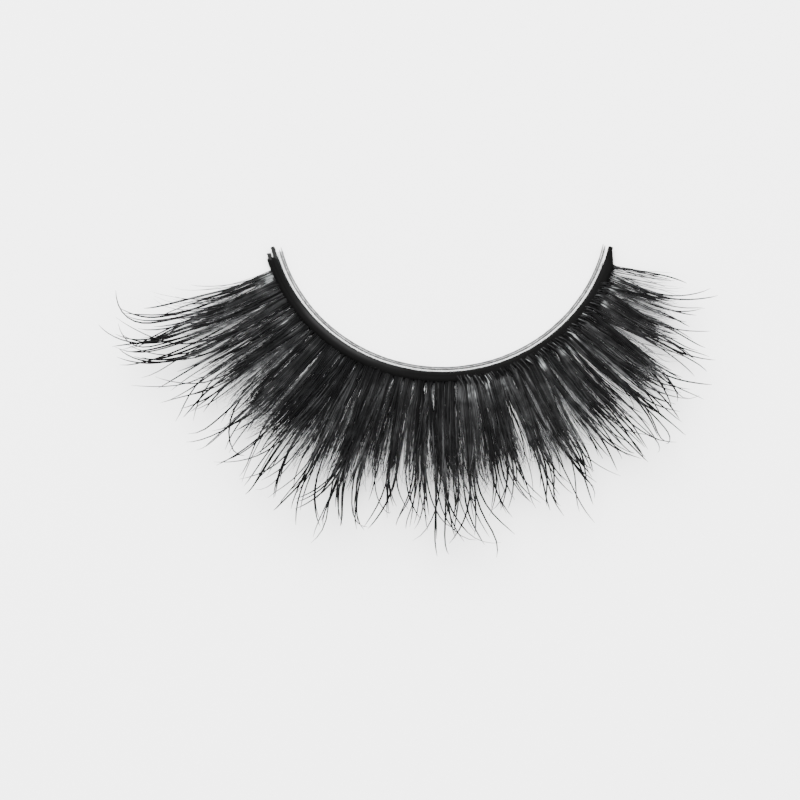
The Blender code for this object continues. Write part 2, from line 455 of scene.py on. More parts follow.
def lash_tree():
    """Hairs that leave the band in bundles, gather into tufts, curl up and cross at their tips.

    Every row has the same bundles and tufts, so that the gaps between them stay open.
    """
    graph, size = new_tree("grow_lashes", LASH_SIZES)
    geometry, hair, share = copies_of_line(graph, size["Points"], size["Hairs"])
    seed = size["Seed"] * ROW_SEED_STEP

    def each(low, high, use):
        """A random number for each hair."""
        return graph.random(low, high, hair, seed + float(OWN_SEEDS[use]))

    def common(low, high, use, group):
        """A random number for each bundle, tuft, wisp, lock or strand, the same in every row."""
        return graph.random(low, high, group, SHARED_SEEDS[use])

    def away(spot, near, off):
        """From 0 near this place on the band to 1 far from it."""
        return graph.smooth(graph.math("ABSOLUTE", root - spot), near, off)

    # Where the hair stands, and the bundle, tuft and wisp that it belongs to
    number = (hair + each(0.0, 1.0, "root")) / size["Hairs"]
    within = size["From Share"] + (size["To Share"] - size["From Share"]) * number
    root = graph.profile(within, ROOT_SPREAD)
    drift = graph.drift(root * BUNDLE_WAVES)
    bundle = graph.math("FLOOR", root * size["Bundles"] + drift)
    bundle_middle = (bundle + 0.5 - drift) / size["Bundles"]
    wander_by = graph.drift(root * TUFT_WAVES + TUFT_WAVES_BEGIN)
    tuft = graph.math("FLOOR", root * size["Tufts"] + wander_by + each(-0.2, 0.2, "tuft border"))
    tuft_offset = common(-0.2, 0.2, "tuft middle", tuft)
    tuft_middle = (tuft + 0.5 - wander_by + tuft_offset) / size["Tufts"]
    wisps = size["Tufts"] * WISPS_IN_TUFT
    wisp = graph.math("FLOOR", root * wisps + each(-0.2, 0.2, "wisp border"))
    wisp_middle = (wisp + 0.5 + common(-0.2, 0.2, "wisp middle", wisp)) / wisps

    # How much of the row's length the hair has, and how far along the longest lash each point is
    grown = each(0.0, 1.0, "length") ** size["Length Skew"]
    kept = size["Shortest Share"] + (1.0 - size["Shortest Share"]) * grown
    far = share * kept * size["Row Share"]

    # Bundles pull together at the roots, then wisps and tufts further out
    bundle_grip = size["Bundle Grip"] * common(0.0, 1.0, "bundle grip", bundle) ** (1.8 - root)
    bundle_grip = bundle_grip * (0.7 + root * 0.5)
    held = graph.smooth(far, *BUNDLES_CLOSE) * graph.fade(far, *BUNDLES_OPEN)
    across = root + (bundle_middle - root) * bundle_grip * held
    wisp_pull = graph.smooth(far, *WISPS_CLOSE) * (1.0 - graph.smooth(far, *WISPS_OPEN) * OPENING)
    across = across + (wisp_middle - across) * wisp_pull * size["Wisp Grip"] * each(0.3, 1.0, "wisp grip")
    off_middle = away(*LOOSEST_TUFTS)
    gathered = graph.smooth(far, *TUFTS_CLOSE) * size["Tuft Grip"] * each(0.8, 1.0, "tuft grip")
    gathered = gathered * (1.0 - graph.smooth(far, *TUFTS_OPEN) * OPENING)
    gathered = gathered * common(0.5, 1.05, "tuft grip", tuft) * (0.84 + off_middle * 0.2)
    across = across + (tuft_middle - across) * gathered
    along = ROOTS_FROM + (ROOTS_TO - ROOTS_FROM) * across

    # How steeply the hair rises, and how it turns towards either corner
    length = size["Longest"] * size["Row Share"] * graph.profile(root, LASH_SHARES)
    length = length * kept * common(0.88, 1.04, "tuft length", tuft)
    steps = size["Points"] - 1.0
    middle = (share + 0.5 / steps) * kept
    far_middle = middle * size["Row Share"]
    uneven = common(-0.6, 0.6, "tuft slope", tuft) + each(-0.8, 0.8, "slope")
    slope = size["Tip Slope"] * (1.0 + size["Slope Spread"] * uneven)
    rise = slope * middle ** 2.0
    corner = graph.fade(root, *OUTER_CORNER)
    lean = common(-0.5, 0.5, "tuft lean", tuft) + each(-0.5, 0.5, "lean")
    wisp_lean = graph.random(-0.5, 0.5, wisp, seed + float(OWN_SEEDS["wisp lean"]))
    bend = common(-0.7, 0.7, "tuft bend", tuft) + each(-0.6, 0.6, "bend")
    hook = each(-1.0, 1.0, "hook") ** 3.0
    upturn = each(0.0, 1.0, "upturn") ** 1.5
    heading = lean * size["Lean"] + wisp_lean * size["Wisp Lean"] + bend * size["Bend"] * middle ** 2.0
    heading = heading + size["Splay"] * each(-1.0, 1.0, "splay") * graph.smooth(far_middle, *TIPS_SPLAY)
    heading = heading - size["Sweep"] * corner * middle ** 2.5
    heading = heading + size["Hook"] * hook * graph.smooth(middle, *TIPS_HOOK)
    heading = heading - size["Upturn"] * upturn * graph.smooth(middle, *TIPS_TURN_UP)
    heading = heading + graph.smooth(root, *INNER_CORNER) * 0.07 + corner * 0.04
    flat = graph.math("COSINE", rise)
    steep = graph.math("MINIMUM", graph.math("SINE", rise) / graph.math("MAXIMUM", flat, 0.3), 1.8)
    heading = heading - steep * graph.math("SINE", along / BAND_RADIUS) * size["Counter Curl"]

    # The hair's points are the sum of its strides from the root
    direction = graph.vector(flat * graph.math("SINE", heading), flat * graph.math("COSINE", heading),
                             graph.math("SINE", rise))
    strides = graph.wire("ShaderNodeVectorMath", {"operation": "SCALE"},
                         {"Vector": direction, "Scale": length / steps})
    summed = graph.wire("GeometryNodeAccumulateField", {"data_type": "FLOAT_VECTOR", "domain": "POINT"},
                        {"Value": strides, "Group ID": hair}, output=1)
    side, reach, raised = graph.split(summed)
    out = size["Root Out"] + each(-1.0, 1.0, "root out") * 0.05 * MM + reach
    up = size["Root Up"] + size["Root Pile"] * each(0.0, 1.0, "root up") + raised
    moved = move(graph, geometry, graph.place(along, out, up, side))

    # Strands are paler in streaks, partly their own tone and partly painted sheen; painted glints near the
    # roots and painted light blobs at the outer corner
    off_dark = away(*DARKEST_HAIRS)
    strand_place = root * size["Tufts"] * STRANDS_IN_TUFT + graph.drift(root * STRAND_WAVES) * 1.5
    strand = graph.math("FLOOR", strand_place)
    streak = common(0.0, 1.18, "strand streak", strand) ** (2.6 - off_dark * 1.3)
    streak = streak * graph.smooth(far, *STREAKS_START)
    streak = streak * (1.0 - graph.smooth(far, *STREAKS_WEAKEN) * 0.3) * graph.fade(far, *STREAKS_END)
    glint = common(0.0, 1.0, "strand glint", strand) ** 2.5 * (0.15 + off_dark)
    glint = glint * graph.smooth(far, *GLINTS_START) * GLINT_STRENGTH
    glint = glint * graph.fade(far, *GLINTS_END) * size["Streaks"]
    # Painted light blobs stand for light showing between the roots at the outer corner
    lock = graph.math("FLOOR", root * size["Tufts"] * LOCKS_IN_TUFT)
    blob = common(0.0, 1.0, "lock blob", lock) ** 1.5 * graph.fade(root, *BLOBS_STOP) * size["Streaks"]
    blob = blob * graph.smooth(far, *BLOBS_START) * graph.fade(far, *BLOBS_END) * BLOB_STRENGTH
    # Fine hairs are painted paler further out, standing in for light from the floor seen between the tufts
    painted_gap_light = size["Painted Gap Light"] * graph.smooth(far, *GAP_LIGHT_STARTS) * (0.25 + off_middle * 0.75)
    tone = streak * size["Streaks"] + glint + blob + painted_gap_light + each(0.0, 1.0, "tone") ** 3.0 * 0.15
    toned = store_tone(graph, moved, tone)
    width = size["Hair Width"] * (1.0 - share * 0.2) * (1.0 - share ** 12.0 * 0.8)
    radius = width * each(0.40, 0.60, "width")
    return end_tree(graph, sweep(graph, toned, radius, size["Sides"]), size["Material"])


# Points along each ply of a cord, its sides, and its middle and radius as shares of the cord's radius
PLY_POINTS = 360
PLY_SIDES = 7
PLY_ORBIT = 0.46
PLY_RADIUS = 0.53

# Inputs of the tree that twists a cord, each with its default
CORD_SIZES = {
    "Plies": 3,
    "From": -HALF_BAND,
    "To": HALF_BAND,
    "Out": 0.0,
    "Wedge": 0.0,
    "Wedge Length": 1.3 * MM,
    "Pitch": CORD_PITCH,
}


def cord_tree():
    """Plies twisted round each other along the band; a wedge thins the end at the inner corner."""
    graph, size = new_tree("twist_cord", CORD_SIZES)
    geometry, ply, share = copies_of_line(graph, PLY_POINTS, size["Plies"])
    along = size["From"] + (size["To"] - size["From"]) * share
    thinned = 1.0 - graph.math("MINIMUM", (size["To"] - along) / size["Wedge Length"], 1.0)
    full = 1.0 - size["Wedge"] * thinned
    turn = (along / size["Pitch"] + ply / size["Plies"]) * math.tau
    orbit = CORD_RADIUS * PLY_ORBIT * full
    out = size["Out"] - (1.0 - full) * CORD_RADIUS + graph.math("COSINE", turn) * orbit
    up = CORD_HEIGHT + graph.math("SINE", turn) * orbit
    moved = move(graph, geometry, graph.place(along, out, up))
    tube = sweep(graph, moved, CORD_RADIUS * PLY_RADIUS * full, PLY_SIDES)
    return end_tree(graph, tube, size["Material"])


# Points along each root hair, and its sides
ROOT_HAIR_POINTS = 12
ROOT_HAIR_SIDES = 4

# Inputs of the tree that lays the root hairs, each with its default
ROOT_HAIR_SIZES = {
    "Fibres": 170,
    "Seed": 3,
    "Roots From": 1.0 * MM,
    "Roots To": 14.6 * MM,
    "Slant": 0.40 * MM,
    "Reach": 1.3 * MM,
    "Width": 0.07 * MM,
}

# Seeds of the random numbers that each root hair has of its own, and how far apart those of two groups are
ROOT_HAIR_SEED_STEP = 17.0
ROOT_HAIR_SEEDS = {
    "root": 1,
    "slant": 2,
    "start": 3,
    "reach": 4,
    "fall": 5,
    "tone": 6,
}


def root_hair_tree():
    """Short root hairs that lean over the outer cord and lie down among the lashes."""
    graph, size = new_tree("tie_root_hairs", ROOT_HAIR_SIZES)
    geometry, fibre, share = copies_of_line(graph, ROOT_HAIR_POINTS, size["Fibres"])
    seed = size["Seed"] * ROOT_HAIR_SEED_STEP

    def each(low, high, use):
        """A random number for each root hair."""
        return graph.random(low, high, fibre, seed + float(ROOT_HAIR_SEEDS[use]))

    root = (fibre + each(0.0, 1.0, "root")) / size["Fibres"]
    along = size["Roots From"] + (size["Roots To"] - size["Roots From"]) * root
    along = along + size["Slant"] * each(0.6, 1.4, "slant") * share
    start = each(0.0, 0.35, "start") * MM
    out = start + (size["Reach"] * each(0.7, 1.2, "reach") - start) * share
    fallen = graph.smooth(out, BAND_HALF_WIDTH - 0.05 * MM, BAND_HALF_WIDTH + 0.75 * MM)
    top = CORD_HEIGHT + CORD_RADIUS + 0.05 * MM
    up = top - fallen * each(0.25, 0.45, "fall") * MM
    moved = move(graph, geometry, graph.place(along, out, up))
    # Some root hairs get a high tone, which their material paints as glints
    toned = store_tone(graph, moved, each(0.0, 1.0, "tone") ** 3.5 * 2.8)
    radius = size["Width"] * 0.5 * (1.0 - share ** 3.0 * 0.7)
    return end_tree(graph, sweep(graph, toned, radius, ROOT_HAIR_SIDES), size["Material"])


def grow(name, tree, sizes, material):
    """Run a tree with these sizes on an empty object and keep its result as a plain mesh."""
    carrier = bpy.data.objects.new(name + "_grower", bpy.data.meshes.new(name + "_grower"))
    bpy.context.scene.collection.objects.link(carrier)
    modifier = carrier.modifiers.new("grow", "NODES")
    modifier.node_group = tree
    sockets = {item.name: item.identifier for item in tree.interface.items_tree if item.in_out == "INPUT"}
    for label, value in sizes.items():
        modifier[sockets[label]] = value
    modifier[sockets["Material"]] = material
    evaluated = carrier.evaluated_get(bpy.context.evaluated_depsgraph_get())
    mesh = bpy.data.meshes.new_from_object(evaluated)
    carrier.modifiers.remove(modifier)
    bpy.data.objects.remove(carrier)
    if not mesh.polygons:
        raise RuntimeError(name + " grew no faces")
    mesh.name = name
    made = bpy.data.objects.new(name, mesh)
    bpy.context.scene.collection.objects.link(made)
    return made


def new_material(name):
    """Make a material; give it with its graph and its Principled shader."""
    material = bpy.data.materials.new(name)
    material.use_nodes = True
    graph = Graph(material.node_tree)
    return material, graph, material.node_tree.nodes["Principled BSDF"]


def link(graph, value, shader, socket):
    """Link a value to one of a shader's sockets."""
    graph.tree.links.new(value.socket, shader.inputs[socket])


def read_tone(graph):
    """Read the tone kept on the mesh."""
    return graph.wire("ShaderNodeAttribute", {"attribute_name": TONE}, output=2)


def mixed_color(graph, factor, first, second):
    """Mix two colours by a factor."""
    sockets = {0: factor, 6: first, 7: second}
    return graph.wire("ShaderNodeMix", {"data_type": "RGBA"}, sockets, output=2)


# Fineness of each pattern, in blobs for each metre
HAIR_GRAIN = 9000.0
# Patches of painted sheen on the hairs
HAIR_SHEEN_PATCHES = 900.0
THREAD_GRAIN = 26000.0
THREAD_BLOTCHES = 1800.0
COATING_GRAIN = 12000.0
COATING_BLOTCHES = 700.0
ADHESIVE_MOTTLE = 5200.0
FLOOR_CLOUDS = 30.0


def object_noise(graph, scale, detail=2.0):
    """Noise over the object's own coordinates; its scale counts blobs for each metre."""
    place_on = graph.node("ShaderNodeTexCoord").outputs["Object"]
    return graph.wire("ShaderNodeTexNoise", None, {"Vector": place_on, "Scale": scale, "Detail": detail})


def bump(graph, shader, height, strength, distance):
    """Raise the surface by a height pattern."""
    made = graph.node("ShaderNodeBump", None, {"Strength": strength, "Distance": distance, "Height": height})
    graph.tree.links.new(made.outputs[0], shader.inputs["Normal"])


def hair_material(name, dark, palest, glint):
    """Dark fibre whose tone differs from hair to hair, with painted sheen in streaks and patches and painted
    glints near some roots.
    """
    material, graph, shader = new_material(name)
    tone = read_tone(graph)
    grain = object_noise(graph, HAIR_GRAIN)
    # Patches in which the hairs are paler are painted sheen
    sheen_patch = graph.smooth(object_noise(graph, HAIR_SHEEN_PATCHES), 0.35, 0.7)
    pale = tone * (0.25 + sheen_patch * 0.75) * 0.9 + grain * 0.1
    color = mixed_color(graph, pale, (*dark, 1.0), (*palest, 1.0))
    # A tone above the palest is painted as a glint, a painted highlight
    color = mixed_color(graph, graph.smooth(pale, 0.9, 2.2), color, (*glint, 1.0))
    link(graph, color, shader, "Base Color")
    link(graph, 0.34 + grain * 0.18 + tone * 0.08, shader, "Roughness")
    shader.inputs["Specular IOR Level"].default_value = 0.012
    bump(graph, shader, grain, 0.25, 0.01 * MM)
    return material


def cord_material(finish):
    """Black twisted thread with fine fibres."""
    material, graph, shader = new_material("cord_thread")
    grain = object_noise(graph, THREAD_GRAIN, detail=4.0)
    blotch = object_noise(graph, THREAD_BLOTCHES)
    color = mixed_color(graph, grain * 0.6 + blotch * 0.4, (*finish.cord_dark, 1.0), (*finish.cord_pale, 1.0))
    link(graph, color, shader, "Base Color")
    link(graph, 0.62 + grain * 0.25, shader, "Roughness")
    shader.inputs["Specular IOR Level"].default_value = 0.2
    bump(graph, shader, grain, 0.5, 0.02 * MM)
    return material


def coating_material(finish):
    """Dried black coating over the cords: nearly smooth, with a dull painted sheen where its tone is high."""
    material, graph, shader = new_material("band_coating")
    blotch = object_noise(graph, COATING_BLOTCHES)
    grain = object_noise(graph, COATING_GRAIN, detail=3.0)
    # Painted sheen, with a little grain of the coating's own
    painted_sheen = read_tone(graph) * (0.4 + blotch * 0.8) + grain * 0.08
    color = mixed_color(graph, painted_sheen, (*finish.cord_dark, 1.0), (*finish.coating_painted_sheen, 1.0))
    link(graph, color, shader, "Base Color")
    link(graph, 0.34 + blotch * 0.3 + grain * 0.1, shader, "Roughness")
    shader.inputs["Specular IOR Level"].default_value = 0.008
    bump(graph, shader, grain * 0.4 + blotch * 0.6, 0.35, 0.02 * MM)
    return material


def clear_material(finish):
    """Clear dried adhesive: pale and see-through, with painted dark lines where its tone is high, standing in
    for refraction and shade at the bead edges.
    """
    material, graph, shader = new_material("clear_adhesive_film")
    tone = read_tone(graph)
    mottle = object_noise(graph, ADHESIVE_MOTTLE, detail=3.0)
    # Painted dark lines standing in for refraction and shade at the bead edges
    dark = graph.smooth(tone + mottle * 0.5, 0.40, 0.95)
    color = mixed_color(graph, dark, (*finish.clear_pale, 1.0), (*finish.clear_painted_dark, 1.0))
    link(graph, color, shader, "Base Color")
    link(graph, 0.24 + dark * 0.74, shader, "Alpha")
    link(graph, 0.10 + mottle * 0.15, shader, "Roughness")
    shader.inputs["Coat Weight"].default_value = 0.6
    shader.inputs["Coat Roughness"].default_value = 0.08
    bump(graph, shader, mottle, 0.4, 0.02 * MM)
    return material


def floor_material():
    """Plain pale matte floor."""
    material, graph, shader = new_material("pale_floor")
    cloud = object_noise(graph, FLOOR_CLOUDS)
    color = mixed_color(graph, cloud, (0.90, 0.90, 0.90, 1.0), (0.93, 0.93, 0.93, 1.0))
    link(graph, color, shader, "Base Color")
    shader.inputs["Roughness"].default_value = 0.8
    return material


# Seed of the random numbers of each piece made ring by ring, and its number of rings
ADHESIVE_SEED = 5
COATING_SEED = 8
ROOT_STRIP_SEED = 11
BEAD_RINGS = 420
FILM_RINGS = 400
COATING_RINGS = 420
ROOT_STRIP_RINGS = 700


def wander(rng, places, spacing):
    """A smooth random line from -1 to 1 at these places, turning about once in each spacing."""
    start = min(places)
    knots = np.arange(start - spacing, max(places) + 2 * spacing, spacing)
    values = rng.uniform(-1.0, 1.0, len(knots))
    index = np.clip(((np.asarray(places) - knots[0]) / spacing).astype(int), 0, len(knots) - 2)
    part = (np.asarray(places) - knots[index]) / spacing
    part = part * part * (3.0 - 2.0 * part)
    return values[index] * (1.0 - part) + values[index + 1] * part


def loft(mesh_data, rings, tones=None):
    """Join rings of points into one closed skin; tones are numbers kept on the points."""
    layers = mesh_data.verts.layers.float
    layer = layers.get(TONE) or layers.new(TONE)
    loops = []
    for ring_index, ring in enumerate(rings):
        loop = []
        for point_index, point in enumerate(ring):
            vertex = mesh_data.verts.new(point)
            if tones is not None:
                vertex[layer] = tones[ring_index][point_index]
            loop.append(vertex)
        loops.append(loop)
    for loop, following in zip(loops, loops[1:]):
        for index in range(len(loop)):
            after = (index + 1) % len(loop)
            mesh_data.faces.new((loop[index], loop[after], following[after], following[index]))
    mesh_data.faces.new(loops[0])
    mesh_data.faces.new(loops[-1])


def finish_mesh(name, mesh_data, material):
    """Link a bmesh as a smooth object with its faces pointing out."""
    bmesh.ops.recalc_face_normals(mesh_data, faces=mesh_data.faces)
    mesh = bpy.data.meshes.new(name)
    mesh_data.to_mesh(mesh)
    mesh_data.free()
    mesh.shade_smooth()
    mesh.materials.append(material)
    made = bpy.data.objects.new(name, mesh)
    bpy.context.scene.collection.objects.link(made)
    return made


def add_bead(mesh_data, start, end, across, width, height, tones, rng):
    """Lay one bead of dried adhesive along the band, at this length in from the band's middle line.

    Its tones, for the painted dark lines, are those of its edge towards the eye and of its edge towards the
    cords.
    """
    places = np.linspace(start, end, BEAD_RINGS)
    sway = wander(rng, places, 1.1 * MM)
    nicks = wander(rng, places, 0.16 * MM)
    rounded_end = 0.5 * MM
    darkening_reach = 3.5 * MM
    base = 0.005 * MM
    steps = 8
    rings = []
    ring_tones = []
    for index, along in enumerate(places):
        ends = min(1.0, (along - start) / rounded_end, (end - along) / rounded_end)
        full = math.sqrt(max(0.02, ends))
        middle = -(across + sway[index] * 0.10 * width)
        half = width / 2 * full * (1.0 + 0.10 * nicks[index] + 0.12 * sway[index])
        tall = height * full * (1.0 + 0.12 * nicks[index])
        # The painted lines grow darker towards the inner end and at the nicks
        darkening = 0.45 * max(0.0, 1.0 - (end - along) / darkening_reach) + 0.12 * nicks[index]
        ring = []
        for step in range(steps + 1):
            turn = math.pi * step / steps
            up = base + math.sin(turn) ** 0.8 * tall
            ring.append(place(along, middle - math.cos(turn) * half, up))
        rings.append(ring)
        ring_tones.append([mix(*tones, step / steps) + darkening for step in range(steps + 1)])
    loft(mesh_data, rings, ring_tones)


def make_adhesive(material):
    """Three beads of clear adhesive side by side on a thin film with a ragged edge."""
    rng = np.random.default_rng(ADHESIVE_SEED)
    mesh_data = bmesh.new()
    near = BAND_HALF_WIDTH + 0.02 * MM
    start = -HALF_BAND
    end = HALF_BAND + 0.15 * MM
    # Each bead's start, end, place in from the band's middle line, width, height and tones of its painted
    # dark lines
    beads = [
        (start + 0.3 * MM, end - 1.4 * MM, near + 0.09 * MM, 0.17 * MM, 0.24 * MM, (0.0, 0.1)),
        (start + 0.2 * MM, end, near + 0.26 * MM, 0.14 * MM, 0.17 * MM, (0.25, 1.4)),
        (start, end + 0.1 * MM, near + 0.42 * MM, 0.09 * MM, 0.13 * MM, (1.5, 0.5)),
    ]
    for bead in beads:
        add_bead(mesh_data, *bead, rng)
    places = np.linspace(start + 0.4 * MM, end - 1.2 * MM, FILM_RINGS)
    edge = wander(rng, places, 0.22 * MM)
    base = 0.004 * MM
    rings = []
    for index, along in enumerate(places):
        far = near + (0.46 + 0.025 * edge[index]) * MM
        rings.append([place(along, -near, base), place(along, -near, 0.10 * MM),
                      place(along, -mix(near, far, 0.5), 0.07 * MM), place(along, -far, 0.035 * MM),
                      place(along, -far, base)])
    # The film is painted darker towards its far edge, a line of refraction and shade
    loft(mesh_data, rings, [[0.0, 0.0, 0.35, 0.55, 0.55]] * len(rings))
    return finish_mesh("clear_adhesive", mesh_data, material)


def make_coating(material):
    """The black coating that holds both cords: it follows their tops and thins to the wedge.

    Its tone is a painted sheen on the side towards the eye, strongest on the outer half of the band.
    """
    rng = np.random.default_rng(COATING_SEED)
    mesh_data = bmesh.new()
    start = -HALF_BAND + 0.78 * MM
    end = HALF_BAND - 0.01 * MM
    places = np.linspace(start, end, COATING_RINGS)
    sway = wander(rng, places, 1.7 * MM)
    lumps = wander(rng, places, 0.30 * MM)
    skin = 0.022 * MM
    base = 0.02 * MM
    knee = CORD_HEIGHT * 0.55
    top = CORD_HEIGHT + CORD_RADIUS + skin
    rounded_start = 0.35 * MM
    wedge_length = 1.45 * MM
    wedge_edge = -0.11 * MM
    valley_depth = 0.03 * MM
    # The middle of the stretch with painted sheen and its reach to either side, in degrees round the band
    gloss_middle = -35.0
    gloss_reach = 18.0
    steps = 12
    rings = []
    tones = []
    for index, along in enumerate(places):
        wedge = min(1.0, (end - along) / wedge_length)
        full = min(1.0, 0.3 + 0.7 * math.sqrt(max(0.0, (along - start) / rounded_start)))
        inner = -(BAND_HALF_WIDTH + skin * (0.8 + 0.4 * lumps[index])) * mix(0.96, 1.0, full)
        edge = BAND_HALF_WIDTH + 0.05 * MM + skin * (sway[index] + 0.5 * lumps[index])
        outer = mix(wedge_edge, edge, wedge)
        ring = [place(along, inner, base), place(along, inner, knee)]
        for step in range(steps + 1):
            part = step / steps
            across = mix(inner, outer, part)
            round_off = 1.0 - abs(2.0 * part - 1.0) ** 4
            valley = valley_depth * math.exp(-((part - 0.5) / 0.16) ** 2) * wedge
            up = mix(CORD_HEIGHT, top, round_off) - valley + skin * 0.4 * sway[index]
            ring.append(place(along, across, mix(CORD_HEIGHT, up, full)))
        ring += [place(along, outer, knee), place(along, outer, base)]
        rings.append(ring)
        angle = math.degrees(along / BAND_RADIUS)
        painted_sheen = 0.08 + math.exp(-((angle - gloss_middle) / gloss_reach) ** 4)
        painted_sheen = painted_sheen * (0.65 + 0.35 * sway[index])
        across_tones = [painted_sheen * math.exp(-((step - 3.0) / 2.4) ** 2) for step in range(steps + 1)]
        tones.append([0.0, 0.0, *across_tones, 0.0, 0.0])
    loft(mesh_data, rings, tones)
    return finish_mesh("band_coating", mesh_data, material)


def make_root_strip(material):
    """The flat strip of glued roots under the cords, with a ragged edge towards the lashes."""
    rng = np.random.default_rng(ROOT_STRIP_SEED)
    mesh_data = bmesh.new()
    places = np.linspace(ROOTS_FROM, ROOTS_TO, ROOT_STRIP_RINGS)
    teeth = wander(rng, places, 0.09 * MM)
    drift = wander(rng, places, 0.8 * MM)
    near = -BAND_HALF_WIDTH + 0.02 * MM
    rings = []
    for index, along in enumerate(places):
        far = BAND_HALF_WIDTH + (0.16 + 0.07 * teeth[index] + 0.06 * drift[index]) * MM
        rings.append([place(along, near, 0.0), place(along, near, ROOT_TOP * 0.9),
                      place(along, BAND_HALF_WIDTH, ROOT_TOP * (0.95 + 0.05 * teeth[index])),
                      place(along, far, 0.05 * MM), place(along, far, 0.0)])
    loft(mesh_data, rings)
    return finish_mesh("glued_root_strip", mesh_data, material)


class EyelashSizes(bpy.types.PropertyGroup):
    """Sizes and numbers of the hairs and the cords."""

    longest: bpy.props.FloatProperty(
        name="Longest lash", description="Length of the longest lash from root to tip",
        default=LONGEST_LASH, unit="LENGTH")
    short_share: bpy.props.FloatProperty(
        name="Short lash share", description="Length of the upper lashes as a share of the lower ones",
        default=0.60, subtype="FACTOR")
    hair_width: bpy.props.FloatProperty(
        name="Hair width", description="Width of a hair near its root",
        default=HAIR_WIDTH, unit="LENGTH")
    tip_angle: bpy.props.FloatProperty(
        name="Tip angle", description="How steeply the longest lashes rise at their tips",
        default=TIP_ANGLE, subtype="ANGLE")
    long_hairs: bpy.props.IntProperty(
        name="Long hairs", description="Number of hairs in the lower row", default=250)
    short_hairs: bpy.props.IntProperty(
        name="Short hairs", description="Number of hairs in the upper row", default=950)
    fine_hairs: bpy.props.IntProperty(
        name="Fine hairs", description="Number of fine hairs that fill the gaps between tufts", default=1900)
    stray_hairs: bpy.props.IntProperty(
        name="Stray hairs", description="Number of thin hairs that cross the others", default=45)
    corner_hairs: bpy.props.IntProperty(
        name="Outer corner hairs", description="Number of long swept hairs at the outer corner", default=15)
    cord_pitch: bpy.props.FloatProperty(
        name="Cord twist", description="Length of the cords in which a ply goes once round",
        default=CORD_PITCH, unit="LENGTH")


class EyelashFinish(bpy.types.PropertyGroup):
    """Colours of the strip."""

    hair_dark: bpy.props.FloatVectorProperty(
        name="Hair", description="Darkest colour of the hairs", subtype="COLOR",
        default=(0.0013, 0.0013, 0.0014))
    # Palest colour of the hairs, reached in streaks of their own tone and of painted sheen
    hair_pale: bpy.props.FloatVectorProperty(
        name="Pale hair", description="Palest colour of the hairs", subtype="COLOR",
        default=(0.034, 0.0345, 0.035))
    # Painted highlight on the hairs near some roots
    hair_glint: bpy.props.FloatVectorProperty(
        name="Hair glint", description="Colour of the bright glints near some roots", subtype="COLOR",
        default=(0.20, 0.21, 0.21))
    # Palest colour of the fine hairs, painted to stand in for floor light seen between the tufts
    fine_gap_light: bpy.props.FloatVectorProperty(
        name="Fine hair", description="Palest colour of the fine hairs between the tufts", subtype="COLOR",
        default=(0.17, 0.173, 0.176))
    cord_dark: bpy.props.FloatVectorProperty(
        name="Cord", description="Darkest colour of the cords", subtype="COLOR",
        default=(0.0013, 0.0013, 0.0013))
    cord_pale: bpy.props.FloatVectorProperty(
        name="Pale cord", description="Palest colour of the cords", subtype="COLOR",
        default=(0.006, 0.006, 0.006))
    # Painted sheen on the coating
    coating_painted_sheen: bpy.props.FloatVectorProperty(
        name="Coating gloss", description="Palest colour of the coating over the cords", subtype="COLOR",
        default=(0.024, 0.024, 0.024))
    clear_pale: bpy.props.FloatVectorProperty(
        name="Adhesive", description="Palest colour of the clear adhesive", subtype="COLOR",
        default=(0.93, 0.94, 0.94))
    # Painted dark lines of refraction and shade at the bead edges
    clear_painted_dark: bpy.props.FloatVectorProperty(
        name="Adhesive lines", description="Colour of the clear adhesive where it is folded or cut",
        subtype="COLOR", default=(0.018, 0.0185, 0.0185))


def keep(piece, slot, *nodes):
    """Tie a finished piece to the frame and hide the solids it stands for; its slot is not used."""
    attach(piece, "root")
    if nodes:
        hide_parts(*nodes)


class EYELASH_OT_adhesive(bpy.types.Operator):
    """Lay the clear adhesive strip along the eye's side of the band"""

    bl_idname = "eyelash.adhesive"
    bl_label = "Clear Adhesive"

    def execute(self, context):
        keep(make_adhesive(clear_material(context.scene.eyelash_finish)), "clear_adhesive",
             "clear_adhesive_strip")
        return {"FINISHED"}


class EYELASH_OT_band(bpy.types.Operator):
    """Twist the two cords, coat them and lay the strip of glued roots under them"""

    bl_idname = "eyelash.band"
    bl_label = "Cords and Coating"

    def execute(self, context):
        pitch = context.scene.eyelash_sizes.cord_pitch
        thread = cord_material(context.scene.eyelash_finish)
        tree = cord_tree()
        inner = {"Out": -CORD_OFFSET, "Pitch": pitch}
        outer = {"Out": CORD_OFFSET, "Pitch": pitch, "Wedge": OUTER_CORD_WEDGE,
                 "From": -HALF_BAND + OUTER_CORD_START, "To": HALF_BAND - OUTER_CORD_STOP}
        keep(grow("inner_cord_thread", tree, inner, thread), "band_cord", "inner_band_cord")
        keep(grow("outer_cord_thread", tree, outer, thread), "band_cord", "outer_band_cord")
        coating = coating_material(context.scene.eyelash_finish)
        keep(make_coating(coating), "band_cord")
        keep(make_root_strip(coating), "band_cord", "long_lash_row")
        return {"FINISHED"}


